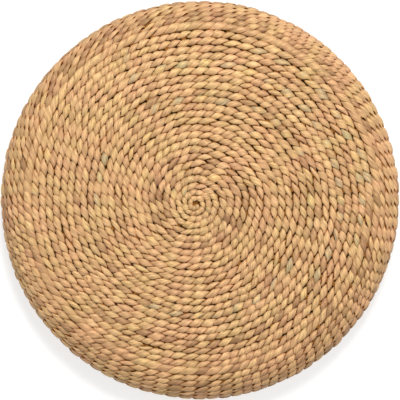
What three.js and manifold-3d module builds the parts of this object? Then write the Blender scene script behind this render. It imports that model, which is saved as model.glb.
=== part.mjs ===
// Round seat pad. A cover of dried leaf is twined in one spiral over radial stakes: out from the middle of the
// top, over the rim and in again to the middle of the base. It is drawn over a foam disc in a thin sewn lining.
// Millimetres, +Z up. The origin is the middle of the base, on the surface that the pad rests on.
import * as THREE from 'three';
import { mergeVertices } from 'three/addons/utils/BufferGeometryUtils.js';
import Module from 'manifold-3d';

// ---- Driving dimensions ----

// The pad's outside
const padDiameter = 400;
const edgeHeight = 48; // from the base to the shoulder, where the top turns over into the rim
const crownRise = 4; // how far the middle of the top stands above its shoulder
const shoulderInset = 28; // from the rim in to the shoulder, seen from above

// The twined cover
const weaveThickness = 7; // two weft strands with a stake between them
const rowPitch = 7; // from one row of twining to the next
const startRows = 4; // rows of small stitches round each knot
const innerRows = 6;
const middleRows = 7;
const knotRadius = 12; // the first rounds, twined tight over the crossing of the stakes
const waleWidth = 8; // the one row of thicker, longer stitches at each shoulder
const waleRise = 1.2; // how far the top wale stands proud of the rows beside it

// The stakes, leaves in bundles that lie flat and open out like a fan as the circle grows
const stakeBundleCount = 20;
const stakeStartRadius = 18; // inside this the bundles are too narrow to tell apart
const stakeThickness = 2;
const stakeSpread = 0.7; // the share of its sector that a bundle covers

// What the cover holds
const liningThickness = 0.8;

const clearance = 0.3; // between any two pieces that touch
const ringSegments = 40; // flats round the pad
const rimSteps = 6; // flats from the shoulder down to the foot

// ---- Colours ----

const leafColour = 0xd3ab74;
const stakeColour = 0xa98a58;
const liningColour = 0xd9ccb2;
const foamColour = 0xe6dfc8;

// ---- The meridian, the line that the cover follows from the middle of the top to the middle of the base ----

const shoulderRadius = padDiameter / 2 - shoulderInset;
const rimHalfHeight = edgeHeight / 2;
const rimLength = Math.PI * Math.sqrt((shoulderInset ** 2 + rimHalfHeight ** 2) / 2);
const footStation = shoulderRadius + rimLength;
const meridianLength = footStation + shoulderRadius;

/** The radius and height of the point at a distance along the outside, and a depth below it. */
function meridianPoint(station, depth) {
  if (station <= shoulderRadius) {
    const crown = crownRise * (1 - (station / shoulderRadius) ** 2);
    return new THREE.Vector2(station, edgeHeight + crown - depth);
  }
  if (station >= footStation) {
    return new THREE.Vector2(meridianLength - station, depth);
  }
  const turn = (Math.PI * (station - shoulderRadius)) / rimLength;
  return new THREE.Vector2(
    shoulderRadius + (shoulderInset - depth) * Math.sin(turn),
    rimHalfHeight + (rimHalfHeight - depth) * Math.cos(turn),
  );
}

/** The stations from one to another, with the flats of the rim where the stretch passes over it. */
function stationsBetween(from, to, flats = rimSteps) {
  const stations = [from];
  for (let step = 0; step <= flats; step += 1) {
    const station = shoulderRadius + (rimLength * step) / flats;
    if (station > from + clearance && station < to - clearance) stations.push(station);
  }
  return [...stations, to];
}

/** The closed section of a layer: out along its upper face and back along its lower one. */
function layerSection(stations, outerDepth, innerDepth) {
  const outer = stations.map((station) => meridianPoint(station, outerDepth));
  const inner = stations.map((station) => meridianPoint(station, innerDepth));
  return [...outer, ...inner.reverse()];
}

// ---- Solids ----

const wasm = await Module();
wasm.setup();

/** A section turned round the pad's axis. Sections run clockwise, so their faces point out. */
function turned(section) {
  const closed = section[0].x > 0 ? [...section, section[0]] : section;
  return new THREE.LatheGeometry([...closed].reverse(), ringSegments).rotateX(Math.PI / 2);
}

/** A geometry as a manifold solid, with the vertices that its faces share merged. */
function solidOf(geometry) {
  const bare = geometry.clone();
  bare.deleteAttribute('normal');
  bare.deleteAttribute('uv');
  const merged = mergeVertices(bare);
  return new wasm.Manifold(new wasm.Mesh({
    numProp: 3,
    vertProperties: merged.attributes.position.array,
    triVerts: new Uint32Array(merged.index.array),
  }));
}

/** A manifold solid as a geometry. */
function geometryOf(solid) {
  const { vertProperties, triVerts } = solid.getMesh();
  const geometry = new THREE.BufferGeometry();
  geometry.setAttribute('position', new THREE.BufferAttribute(vertProperties, 3));
  geometry.setIndex(new THREE.BufferAttribute(triVerts, 1));
  geometry.computeVertexNormals();
  return geometry;
}

/**
 * One stake bundle along +X: a flat strip that follows the meridian in the middle of the weave, cut to a
 * fan's blade. With an allowance it is the channel that the bundle runs in.
 */
function stakeBlade(allowance) {
  const middle = weaveThickness / 2;
  const half = stakeThickness / 2 + allowance;
  const end = stakeStartRadius - allowance;
  const outline = layerSection(stationsBetween(end, meridianLength - end), middle - half, middle + half);
  const width = padDiameter / 2;
  const strip = new THREE.ExtrudeGeometry(new THREE.Shape(outline), { depth: width, bevelEnabled: false });
  strip.rotateX(Math.PI / 2).translate(0, width / 2, 0);

  const halfAngle = (stakeSpread * Math.PI) / stakeBundleCount;
  const reach = padDiameter;
  const apex = -allowance / Math.sin(halfAngle);
  const sector = new THREE.Shape([
    new THREE.Vector2(apex, 0),
    new THREE.Vector2(apex + reach, -reach * Math.tan(halfAngle)),
    new THREE.Vector2(apex + reach, reach * Math.tan(halfAngle)),
  ]);
  const wedge = new THREE.ExtrudeGeometry(sector, { depth: 2 * padDiameter, bevelEnabled: false });
  wedge.translate(0, 0, -padDiameter);
  return geometryOf(solidOf(strip).intersect(solidOf(wedge)));
}

const bundleAngles = Array.from({ length: stakeBundleCount }, (_, i) => (2 * Math.PI * i) / stakeBundleCount);
const channels = bundleAngles.map((angle) => solidOf(stakeBlade(clearance).rotateZ(angle)));

/** A ring of the cover between two stations, with the channels that the stakes run in. */
function weftBand(from, to, rise = 0) {
  const stations = stationsBetween(from + clearance / 2, to - clearance / 2);
  if (rise > 0) stations.splice(1, stations.length - 2, (from + to) / 2);
  const section = layerSection(stations, 0, weaveThickness);
  if (rise > 0) section[1].y += rise;
  const ring = channels.reduce((band, channel) => band.subtract(channel), solidOf(turned(section)));
  return geometryOf(ring);
}

/** The tight first rounds at the middle of the top, or the last ones at the middle of the base. */
function knot(from, to) {
  return turned(layerSection([from, to], 0, weaveThickness));
}

/** One half of the lining, a thin bowl from the axis to the seam at the pad's waist. */
function liningHalf(from, to) {
  const outerDepth = weaveThickness + clearance;
  return turned(layerSection(stationsBetween(from, to), outerDepth, outerDepth + liningThickness));
}

// ---- The model ----

const pad = new THREE.Group();

/** Adds a piece to the pad, turned about the pad's axis. */
function addPiece(name, geometry, color, roughness, turn = 0) {
  const mesh = new THREE.Mesh(geometry, new THREE.MeshStandardMaterial({ color, roughness, metalness: 0 }));
  mesh.name = name;
  mesh.rotation.z = turn;
  pad.add(mesh);
}

// The cover: a knot, four bands and a wale on the top, one band down the side, and the same again below.
const topBands = [
  { name: 'weft_start', rows: startRows },
  { name: 'weft_inner', rows: innerRows },
  { name: 'weft_middle', rows: middleRows },
];
const waleStart = shoulderRadius - waleWidth / 2;
const waleEnd = shoulderRadius + waleWidth / 2;

addPiece('top_centre_knot', knot(0, knotRadius - clearance / 2), leafColour, 0.7);
addPiece('base_closing_knot',
  knot(meridianLength - knotRadius + clearance / 2, meridianLength), leafColour, 0.7);

let edge = knotRadius;
for (const { name, rows } of topBands) {
  const next = edge + rows * rowPitch;
  addPiece(`top_${name}`, weftBand(edge, next), leafColour, 0.7);
  addPiece(`base_${name}`, weftBand(meridianLength - next, meridianLength - edge), leafColour, 0.7);
  edge = next;
}
addPiece('top_weft_outer', weftBand(edge, waleStart), leafColour, 0.7);
addPiece('base_weft_outer', weftBand(meridianLength - waleStart, meridianLength - edge), leafColour, 0.7);
addPiece('shoulder_wale', weftBand(waleStart, waleEnd, waleRise), leafColour, 0.65);
addPiece('foot_wale', weftBand(meridianLength - waleEnd, meridianLength - waleStart), leafColour, 0.65);
addPiece('side_weft', weftBand(waleEnd, meridianLength - waleEnd), leafColour, 0.7);

// The stakes, all alike, set round the pad.
const blade = stakeBlade(0);
bundleAngles.forEach((angle, i) => {
  addPiece(`stake_bundle_${String(i + 1).padStart(2, '0')}`, blade, stakeColour, 0.8, angle);
});

// The filling: the two halves of the lining meet at the waist, round the foam disc.
const waist = shoulderRadius + rimLength / 2;
addPiece('lining_top', liningHalf(0, waist - clearance / 2), liningColour, 0.9);
addPiece('lining_base', liningHalf(waist + clearance / 2, meridianLength), liningColour, 0.9);

const foamDepth = weaveThickness + liningThickness + 2 * clearance;
const foamOutline = stationsBetween(0, meridianLength).map((station) => meridianPoint(station, foamDepth));
addPiece('foam_core', turned(foamOutline), foamColour, 0.95);

export default pad;
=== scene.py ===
"""A round chair seat pad: a closed cover of dried leaf, twined in one spiral round radial stakes.

The pad is made as its maker makes it. Two strands of twisted leaf start at the middle of the top and twist
round each other over every stake, turn by turn, out to the shoulder, down the rim and in again over the
base. One heavier turn of three strands, the wale, turns the work over at each shoulder. Stakes are laid in
as the circle grows. The cover holds a foam disc in a thin cotton lining.
"""
import logging
import math
from dataclasses import dataclass, field
from enum import Enum

import bmesh
import bpy
import numpy as np
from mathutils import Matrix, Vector


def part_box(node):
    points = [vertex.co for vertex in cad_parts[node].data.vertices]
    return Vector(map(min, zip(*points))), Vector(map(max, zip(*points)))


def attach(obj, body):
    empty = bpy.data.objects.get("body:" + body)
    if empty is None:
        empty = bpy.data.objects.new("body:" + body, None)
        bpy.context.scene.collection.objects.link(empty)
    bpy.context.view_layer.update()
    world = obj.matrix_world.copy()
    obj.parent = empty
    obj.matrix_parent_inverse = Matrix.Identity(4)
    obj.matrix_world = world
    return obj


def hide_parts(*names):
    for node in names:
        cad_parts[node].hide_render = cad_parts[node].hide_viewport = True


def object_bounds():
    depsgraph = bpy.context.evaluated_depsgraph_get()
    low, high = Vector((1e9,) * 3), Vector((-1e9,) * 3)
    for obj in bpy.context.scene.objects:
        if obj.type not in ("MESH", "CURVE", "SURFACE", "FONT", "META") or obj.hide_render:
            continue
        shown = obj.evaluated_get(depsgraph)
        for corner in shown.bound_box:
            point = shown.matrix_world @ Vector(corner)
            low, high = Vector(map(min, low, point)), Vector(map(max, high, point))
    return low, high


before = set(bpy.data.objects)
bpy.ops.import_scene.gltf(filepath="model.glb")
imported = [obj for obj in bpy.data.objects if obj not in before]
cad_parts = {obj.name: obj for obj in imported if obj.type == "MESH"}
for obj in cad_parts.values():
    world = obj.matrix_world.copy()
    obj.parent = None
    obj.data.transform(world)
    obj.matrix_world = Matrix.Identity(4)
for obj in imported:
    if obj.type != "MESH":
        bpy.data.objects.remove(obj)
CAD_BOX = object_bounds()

logging.basicConfig(level=logging.INFO, format="%(message)s")
log = logging.getLogger("seat_pad")

MM = 0.001
TURN = 2.0 * math.pi
BODY = "root"
STRAND_MAP = "strand"  # the map of the distance along a strand and round it
WAVE_RATE = 20.0  # how many radians a wave texture of scale 1 turns through in a metre


# ---- Small helpers ----


def linear(hex_colour: str) -> tuple[float, float, float, float]:
    """Turn an sRGB hex colour into linear RGBA.

    Args:
        hex_colour: The colour as "#rrggbb".

    Returns:
        The colour in linear light, with an alpha of one.
    """
    parts = (int(hex_colour[i : i + 2], 16) / 255.0 for i in (1, 3, 5))
    straight = [p / 12.92 if p <= 0.04045 else ((p + 0.055) / 1.055) ** 2.4 for p in parts]
    return (*straight, 1.0)


def add_node(
    tree: bpy.types.NodeTree, kind: str, links: dict | None = None, **settings: object
) -> bpy.types.Node:
    """Add a shader node, set it up and link its inputs.

    Args:
        tree: The node tree that takes the node.
        kind: The node's type name, without the leading "ShaderNode".
        links: What feeds each input, by its name or index: another node's output socket, or a plain value.
        **settings: Attributes to set on the node itself.

    Returns:
        The new node.
    """
    node = tree.nodes.new("ShaderNode" + kind)
    for name, value in settings.items():
        setattr(node, name, value)
    for name, source in (links or {}).items():
        if isinstance(source, bpy.types.NodeSocket):
            tree.links.new(source, node.inputs[name])
        else:
            node.inputs[name].default_value = source
    return node


def set_ramp(ramp: bpy.types.ColorRamp, stops: tuple[tuple[float, str], ...]) -> None:
    """Give a colour ramp its stops.

    Args:
        ramp: The ramp to fill.
        stops: Each stop's place from 0 to 1 and its sRGB hex colour, in rising order.
    """
    while len(ramp.elements) < len(stops):
        ramp.elements.new(1.0)
    for element, (place, colour) in zip(ramp.elements, stops):
        element.position = place
        element.color = linear(colour)


def smooth_step(value: np.ndarray | float) -> np.ndarray | float:
    """Ease a value from 0 to 1, flat at both ends."""
    t = np.clip(value, 0.0, 1.0)
    return t * t * (3.0 - 2.0 * t)


def unit(vectors: np.ndarray) -> np.ndarray:
    """Scale each row of an array of vectors to length one."""
    return vectors / np.linalg.norm(vectors, axis=-1, keepdims=True)


def link_object(name: str, data: bpy.types.ID) -> bpy.types.Object:
    """Put a new object into the scene.

    Args:
        name: The object's name.
        data: The mesh, curve, light or camera that it shows.

    Returns:
        The object.
    """
    obj = bpy.data.objects.new(name, data)
    bpy.context.scene.collection.objects.link(obj)
    return obj


def mesh_from(name: str, work: bmesh.types.BMesh) -> bpy.types.Mesh:
    """Turn a bmesh that is finished with into a mesh.

    Args:
        name: The mesh's name.
        work: The bmesh, which is freed.

    Returns:
        The mesh.
    """
    mesh = bpy.data.meshes.new(name)
    work.to_mesh(mesh)
    work.free()
    return mesh


def evaluated_mesh(obj: bpy.types.Object) -> bpy.types.Mesh:
    """Copy the mesh that an object's modifiers, or its bevel, make of it."""
    return bpy.data.meshes.new_from_object(obj.evaluated_get(bpy.context.evaluated_depsgraph_get()))


def shade_smooth(mesh: bpy.types.Mesh) -> None:
    """Smooth the shading of every face."""
    mesh.polygons.foreach_set("use_smooth", np.ones(len(mesh.polygons), dtype=bool))


def add_piece(mesh: bpy.types.Mesh, finish: bpy.types.Material, node: str) -> bpy.types.Object:
    """Make a mesh a piece of the pad.

    Args:
        mesh: The piece's mesh, whose name it takes.
        finish: Its material.
        node: The fixed model's node that it stands for.

    Returns:
        The piece, which rides on the pad's one body.
    """
    piece = link_object(mesh.name, mesh)
    mesh.materials.append(finish)
    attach(piece, BODY)
    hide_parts(node)
    log.info("%s: %d faces", piece.name, len(mesh.polygons))
    return piece


# ---- Finishes ----


@dataclass(frozen=True)
class Finish:
    """A finish of the pad: a material with a surface of its own.

    Attributes:
        name: The material's name.
    """

    name: str = "plain"

    def surface(self, tree: bpy.types.NodeTree) -> bpy.types.Node:
        """Add the finish's surface shader, with nothing on it."""
        return add_node(tree, "BsdfPrincipled")

    def make(self) -> bpy.types.Material:
        """Build the material.

        Returns:
            The material, with the finish's surface and nothing else.
        """
        material = bpy.data.materials.new(self.name)
        material.use_nodes = True
        tree = material.node_tree
        tree.nodes.clear()
        add_node(tree, "OutputMaterial", {"Surface": self.surface(tree).outputs["BSDF"]})
        return material


def grain_along(
    tree: bpy.types.NodeTree, scale: tuple[float, float], detail: float, roughness: float = 0.5
) -> bpy.types.NodeSocket:
    """Add grain that is drawn out along a strand.

    Args:
        tree: The material's node tree.
        scale: How many grains there are to the metre, along the strand and round it.
        detail: How many finer layers the grain has.
        roughness: How strong the finer layers are.

    Returns:
        The grain, from 0 to 1.
    """
    along = add_node(tree, "UVMap", uv_map=STRAND_MAP)
    place = add_node(tree, "Mapping", {"Vector": along.outputs["UV"], "Scale": (*scale, 1.0)})
    noise = add_node(tree, "TexNoise", {"Vector": place.outputs["Vector"], "Scale": 1.0, "Detail": detail,
                                        "Roughness": roughness}, noise_dimensions="2D")
    return noise.outputs["Fac"]


def patterned_skin(
    tree: bpy.types.NodeTree, pattern: bpy.types.NodeSocket, stops: tuple[tuple[float, str], ...],
    relief: float, roughness: float, gloss: float
) -> bpy.types.Node:
    """Add a surface whose colour and relief both follow one pattern.

    Args:
        tree: The material's node tree.
        pattern: The pattern, from 0 to 1.
        stops: Its colours, as stops for a ramp.
        relief: The height of its relief.
        roughness: The surface's roughness.
        gloss: Its specular level.

    Returns:
        The surface shader.
    """
    shade = add_node(tree, "ValToRGB", {"Fac": pattern})
    set_ramp(shade.color_ramp, stops)
    bump = add_node(tree, "Bump", {"Height": pattern, "Distance": relief})
    return add_node(tree, "BsdfPrincipled", {
        "Base Color": shade.outputs["Color"], "Roughness": roughness, "Normal": bump.outputs["Normal"],
        "Specular IOR Level": gloss})


@dataclass(frozen=True)
class TwistedLeaf(Finish):
    """Dried water-hyacinth or rush leaf, twisted wet and dried: satin, streaked along its fibres.

    Each length of leaf has its own shade, from pale straw to tan with a few brown and grey-green ones, and
    fine lengthwise fibres that catch the light. The real fibres are too fine to show, so they are drawn
    coarser.

    Attributes:
        shades: The ramp of the leaves' shades, from old brown leaf to leaf that dried green.
        fibre_spacing: From one fibre to the next.
        fibre_length: How far a fibre runs before it fades into the next.
        fibre_height: How far fibres stand out.
        fibre_range: The part of the fibre grain that is used.
        streak: The brightness of the dark and the pale fibres.
        blotch_size: The size of blotches across a leaf.
        blotch_stretch: The same, as a share of their length.
        blotch_shift: How far blotches shift the shade.
        stitch_tones: The brightness of the darkest and the palest stitch.
        shown_range: The depths between which the painted shade on a strand fades out.
        painted_deep_shade: The colour of the light deep between strands, as a share of the light outside.
        deep_roughness: The roughness there.
        roughness: The roughness of leaf that shows.
        sheen_tint: The colour of the sheen.
        patch_size: The size of patches that share a hue.
        patch_contrast: How sharply one patch's hue goes over into the next one's.
        patch_start: The hue that the contrast starts from.
        stitch_hue: How far stitches of one patch differ in hue.
        pink: The hue of the pinker patches.
        green: The hue of the greener ones.
    """

    name: str = "dried leaf, hand twisted, satin"
    shades: tuple[tuple[float, str], ...] = (
        (0.00, "#987352"),
        (0.08, "#a8815d"),
        (0.20, "#b58e66"),
        (0.36, "#c0986d"),
        (0.54, "#c7a072"),
        (0.72, "#cca679"),
        (0.86, "#caa46f"),
        (0.95, "#bda277"),
        (1.00, "#b09b76"),
    )
    fibre_spacing: float = 1.0 * MM
    fibre_length: float = 12.0 * MM
    fibre_height: float = 0.28 * MM
    fibre_range: tuple[float, float] = (0.3, 0.7)
    streak: tuple[float, float] = (0.66, 1.26)
    blotch_size: float = 5.0 * MM
    blotch_stretch: float = 0.35
    blotch_shift: float = 0.5
    stitch_tones: tuple[float, float] = (0.92, 1.06)
    shown_range: tuple[float, float] = (0.1, 0.52)
    painted_deep_shade: tuple[float, float, float] = (0.56, 0.29, 0.05)
    deep_roughness: float = 0.85
    roughness: float = 0.42
    sheen_tint: tuple[float, float, float, float] = (1.0, 0.75, 0.4, 1.0)
    patch_size: float = 24.0 * MM
    patch_contrast: float = 2.4
    patch_start: float = -0.95
    stitch_hue: float = 0.5
    pink: tuple[float, float, float] = (1.04, 0.962, 1.02)
    green: tuple[float, float, float] = (0.958, 1.006, 0.94)

    def surface(self, tree: bpy.types.NodeTree) -> bpy.types.Node:
        """Add the leaf's surface.

        Args:
            tree: The material's node tree.

        Returns:
            The shader, which reads the strand's own map and its leaf, stitch and depth attributes.
        """
        fibres = grain_along(tree, (1.0 / self.fibre_length, 1.0 / self.fibre_spacing), detail=3.0,
                             roughness=0.6)
        stitch = add_node(tree, "Attribute", attribute_name="stitch").outputs["Fac"]
        depth = add_node(tree, "Attribute", attribute_name="depth").outputs["Fac"]
        streak = add_node(tree, "MapRange", {
            "Value": fibres, "From Min": self.fibre_range[0], "From Max": self.fibre_range[1],
            "To Min": self.streak[0], "To Max": self.streak[1]})
        stitch_tone = add_node(tree, "MapRange", {
            "Value": stitch, "To Min": self.stitch_tones[0], "To Max": self.stitch_tones[1]})
        tone = add_node(tree, "Math", {0: streak.outputs["Result"], 1: stitch_tone.outputs["Result"]},
                        operation="MULTIPLY")
        lit = add_node(tree, "VectorMath", {0: self._shade(tree), "Scale": tone.outputs["Value"]},
                       operation="SCALE")
        hued = add_node(tree, "VectorMath", {0: lit.outputs["Vector"], 1: self._hue(tree, stitch)},
                        operation="MULTIPLY")
        # Painted shade: deep between strands and on their sides the leaf's colour is multiplied down to a
        # warm brown, following the depth attribute.
        shown = add_node(tree, "MapRange", {
            "Value": depth, "From Min": self.shown_range[0], "From Max": self.shown_range[1]},
            interpolation_type="SMOOTHSTEP")
        painted_shade = add_node(tree, "Mix", {
            "Factor": shown.outputs["Result"], 4: self.painted_deep_shade, 5: (1.0, 1.0, 1.0)}, data_type="VECTOR")
        coloured = add_node(tree, "VectorMath", {0: hued.outputs["Vector"], 1: painted_shade.outputs[1]},
                            operation="MULTIPLY")
        dulled = add_node(tree, "MapRange", {
            "Value": shown.outputs["Result"], "To Min": self.deep_roughness, "To Max": self.roughness})
        bump = add_node(tree, "Bump", {"Height": fibres, "Distance": self.fibre_height, "Strength": 1.0})
        return add_node(tree, "BsdfPrincipled", {
            "Base Color": coloured.outputs["Vector"], "Roughness": dulled.outputs["Result"],
            "Normal": bump.outputs["Normal"], "Specular Tint": self.sheen_tint})

    def _shade(self, tree: bpy.types.NodeTree) -> bpy.types.NodeSocket:
        """Give each length of leaf its shade, blotched along its length.

        Args:
            tree: The material's node tree.

        Returns:
            The shade's colour.
        """
        blotches = grain_along(tree, (self.blotch_stretch / self.blotch_size, 1.0 / self.blotch_size),
                               detail=2.0)
        leaf = add_node(tree, "Attribute", attribute_name="leaf")
        spread = add_node(tree, "Math", {0: blotches, 1: self.blotch_shift, 2: leaf.outputs["Fac"]},
                          operation="MULTIPLY_ADD")
        place = add_node(tree, "Math", {0: spread.outputs["Value"], 1: 0.5 * self.blotch_shift},
                         operation="SUBTRACT")
        shade = add_node(tree, "ValToRGB", {"Fac": place.outputs["Value"]})
        set_ramp(shade.color_ramp, self.shades)
        return shade.outputs["Color"]

    def _hue(self, tree: bpy.types.NodeTree, stitch: bpy.types.NodeSocket) -> bpy.types.NodeSocket:
        """Make whole patches of the weave a little pinker or greener, as leaf of one bundle lies together.

        Args:
            tree: The material's node tree.
            stitch: The number, from 0 to 1, that each stitch has to itself.

        Returns:
            The hue, to multiply the shade by.
        """
        where = add_node(tree, "TexCoord")
        patches = add_node(tree, "TexNoise", {
            "Vector": where.outputs["Object"], "Scale": 1.0 / self.patch_size, "Detail": 1.0})
        patch = add_node(tree, "Math", {
            0: patches.outputs["Fac"], 1: self.patch_contrast, 2: self.patch_start},
            operation="MULTIPLY_ADD")
        hue = add_node(tree, "Math", {0: stitch, 1: self.stitch_hue, 2: patch.outputs["Value"]},
                       operation="MULTIPLY_ADD")
        cast = add_node(tree, "Mix", {"Factor": hue.outputs["Value"], 4: self.pink, 5: self.green},
                        data_type="VECTOR")
        return cast.outputs[1]


@dataclass(frozen=True)
class FlatLeaf(Finish):
    """Dried leaf left flat for the stakes: dull, and painted darker, as the shade in the gaps where it shows.
    """

    name: str = "dried leaf, flat, dull"
    # Darker than the leaf that shows: painted shade, as the stakes are seen only in the shaded gaps.
    colour: str = "#9a6526"
    dark: str = "#724515"
    vein_spacing: float = 1.2 * MM
    vein_stretch: float = 0.1
    vein_height: float = 0.1 * MM
    roughness: float = 0.75
    gloss: float = 0.15

    def surface(self, tree: bpy.types.NodeTree) -> bpy.types.Node:
        """Add the leaf's surface, veined along its length.

        Args:
            tree: The material's node tree.

        Returns:
            The shader.
        """
        scale = (self.vein_stretch / self.vein_spacing, 1.0 / self.vein_spacing)
        veins = grain_along(tree, scale, detail=2.0)
        stops = ((0.3, self.dark), (0.7, self.colour))
        return patterned_skin(tree, veins, stops, self.vein_height, self.roughness, self.gloss)


@dataclass(frozen=True)
class PlainCotton(Finish):
    """Plain-weave cotton, brown as painted shade: matt, with the crossing threads as a fine grid.

    The real threads are too fine to show, so they are drawn coarser.
    """

    name: str = "cotton, plain weave, unbleached, brown as painted shade"
    # The lining shows only in the gaps between strands, so its brown is painted shade.
    thread: str = "#94682c"
    gap: str = "#6a4415"
    thread_spacing: float = 0.9 * MM
    thread_height: float = 0.15 * MM
    thread_waver: float = 0.4
    roughness: float = 0.9
    gloss: float = 0.15

    def surface(self, tree: bpy.types.NodeTree) -> bpy.types.Node:
        """Add the cloth's surface, with threads that run both ways.

        Args:
            tree: The material's node tree.

        Returns:
            The shader.
        """
        place = add_node(tree, "TexCoord")
        scale = TURN / WAVE_RATE / self.thread_spacing
        threads = [
            add_node(tree, "TexWave", {"Vector": place.outputs["Object"], "Scale": scale,
                                       "Distortion": self.thread_waver, "Detail": 1.0}, bands_direction=way)
            for way in ("X", "Y")
        ]
        cloth = add_node(tree, "Math", {0: threads[0].outputs["Fac"], 1: threads[1].outputs["Fac"]},
                         operation="MULTIPLY")
        stops = ((0.0, self.gap), (0.5, self.thread))
        return patterned_skin(tree, cloth.outputs["Value"], stops, self.thread_height, self.roughness,
                              self.gloss)


@dataclass(frozen=True)
class OpenCellFoam(Finish):
    """Cut open-cell foam: matt, with pores that make it look grainy, drawn coarser than the real ones."""

    name: str = "polyether foam, cut"
    wall: str = "#e4dcc2"
    pore: str = "#b9ad8c"
    cell: float = 1.4 * MM
    cell_height: float = 0.3 * MM
    roughness: float = 0.95
    gloss: float = 0.5

    def surface(self, tree: bpy.types.NodeTree) -> bpy.types.Node:
        """Add the foam's surface.

        Args:
            tree: The material's node tree.

        Returns:
            The shader.
        """
        place = add_node(tree, "TexCoord")
        cells = add_node(tree, "TexVoronoi", {"Vector": place.outputs["Object"], "Scale": 1.0 / self.cell})
        stops = ((0.15, self.pore), (0.5, self.wall))
        return patterned_skin(tree, cells.outputs["Distance"], stops, self.cell_height, self.roughness,
                              self.gloss)


# ---- The shape that the weave follows ----


@dataclass(frozen=True)
class Meridian:
    """The line from the middle of the top, over the rim, to the middle of the base.

    A station is the distance along the outside from the middle of the top.

    Attributes:
        radius: The pad's outer radius.
        shoulder: The station, and the radius, where the top turns over into the rim.
        edge_height: From the base to the shoulder.
        crown: How far the middle of the top stands above the shoulder.
    """

    radius: float
    shoulder: float
    edge_height: float
    crown: float

    @classmethod
    def of_frame(cls) -> "Meridian":
        """Read the meridian's sizes off the fixed model.

        Returns:
            The meridian of the fixed model's outside.
        """
        wale, outer, side = (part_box(n)[1] for n in ("shoulder_wale", "top_weft_outer", "side_weft"))
        edge_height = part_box("side_weft")[0][2] + side[2]
        return cls(radius=CAD_BOX[1][0], shoulder=(wale[0] + outer[0]) / 2.0, edge_height=edge_height,
                   crown=CAD_BOX[1][2] - edge_height)

    @property
    def rim_length(self) -> float:
        """The length of the rim's half ellipse."""
        inset = self.radius - self.shoulder
        return math.pi * math.sqrt((inset**2 + (self.edge_height / 2.0) ** 2) / 2.0)

    @property
    def foot(self) -> float:
        """The station where the rim turns in to the base."""
        return self.shoulder + self.rim_length

    @property
    def length(self) -> float:
        """The whole length, from the middle of the top to the middle of the base."""
        return self.foot + self.shoulder

    def at(self, station: np.ndarray) -> tuple[np.ndarray, np.ndarray, np.ndarray]:
        """Find points of the outside and the directions there.

        Args:
            station: The distances along the outside.

        Returns:
            Radius and height of each point, the outward normal, and the direction of growing station.
        """
        s = np.asarray(station, dtype=float)
        inset, half = self.radius - self.shoulder, self.edge_height / 2.0
        turn = np.pi * np.clip((s - self.shoulder) / self.rim_length, 0.0, 1.0)
        share = np.clip(s / self.shoulder, 0.0, 1.0)
        top, base = s <= self.shoulder, s >= self.foot
        r = np.where(top, s, np.where(base, self.length - s, self.shoulder + inset * np.sin(turn)))
        z = np.where(top, self.edge_height + self.crown * (1.0 - share**2), half + half * np.cos(turn))
        slope = 2.0 * self.crown * share / self.shoulder
        along_r = np.where(top, 1.0, np.where(base, -1.0, inset * np.cos(turn)))
        along_z = np.where(top, -slope, np.where(base, 0.0, -half * np.sin(turn)))
        along = unit(np.stack([along_r, along_z], axis=-1))
        normal = np.stack([-along[..., 1], along[..., 0]], axis=-1)
        return np.stack([r, z], axis=-1), normal, along


@dataclass(frozen=True)
class Wave:
    """One of the slow waves in which a row strays to and fro.

    Attributes:
        size: Its height, as a share of the whole straying.
        turns: How many times it goes to and fro in one turn of the spiral.
        phase: Where it starts, in radians.
        drift: How far it slips, in radians, for each step out along the meridian.
    """

    size: float
    turns: int
    phase: float
    drift: float


@dataclass(frozen=True)
class Lay:
    """How the maker lays the rows: their pitch, the stitches' length and the hand's unevenness.

    Attributes:
        row_pitch: From one row to the next on the flat of the top and the base.
        core_pitch: The same in the first tight turns.
        rim_pitch: The same down the rim, where the rows are pulled tight.
        wale_pitch: The width of the heavy turn at each shoulder.
        core_reach: The station by which the rows have their full pitch.
        start: The station of the first turn.
        stitch_stations: Stations, from the nearer middle, where a stitch's length is known.
        stitch_lengths: The lengths there.
        rim_stakes: How many stakes pass over the rim.
        least_stakes: How many the work starts with.
        gap_choice: How unsure the hand is of which gap is the widest, as shares of it.
        ease_rounds: How many times the stakes ease apart in each turn.
        ease: How far they ease each time, as a share of the way.
        jitter: How far a stake strays at each row, as a share of the gap.
        wander: How far a row strays to and fro on its way round.
        waves: The waves of that straying.
        wave_step: The step along the meridian by which the waves drift.
        calm_middle: The station up to which the tight first turns stray less.
        calm_rim: The stations between which the straying fades towards the rim.
        rim_calm: By what share it fades there.
        top_offset: How far off the pad's middle the first turns of the top lie.
        base_offset: The same for the last turns of the base.
    """

    row_pitch: float = 7.0 * MM
    core_pitch: float = 5.5 * MM
    rim_pitch: float = 6.1 * MM
    wale_pitch: float = 7.9 * MM
    core_reach: float = 26.0 * MM
    start: float = 2.0 * MM
    stitch_stations: tuple[float, ...] = (4 * MM, 11 * MM, 17 * MM, 30 * MM, 60 * MM, 100 * MM)
    stitch_lengths: tuple[float, ...] = (4.4 * MM, 6.2 * MM, 7.5 * MM, 9.2 * MM, 10.8 * MM, 11.3 * MM)
    rim_stakes: int = 105
    least_stakes: int = 6
    gap_choice: tuple[float, float] = (0.82, 1.18)
    ease_rounds: int = 4
    ease: float = 0.45
    jitter: float = 0.05
    wander: float = 0.9 * MM
    waves: tuple[Wave, ...] = (
        Wave(0.9, 3, 1.3, 1.1), Wave(0.7, 5, 4.0, -2.0), Wave(0.5, 9, 0.4, 5.0), Wave(0.35, 17, 0.0, 9.0))
    wave_step: float = 100 * MM
    calm_middle: float = 45 * MM
    calm_rim: tuple[float, float] = (150 * MM, 178 * MM)
    rim_calm: float = 0.75
    top_offset: tuple[float, float] = (-5.0 * MM, -4.5 * MM)
    base_offset: tuple[float, float] = (3.0 * MM, -2.5 * MM)

    def stitch_length(self, station: float) -> float:
        """The length of a stitch at a station from the nearer middle."""
        return float(np.interp(station, self.stitch_stations, self.stitch_lengths))


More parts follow.
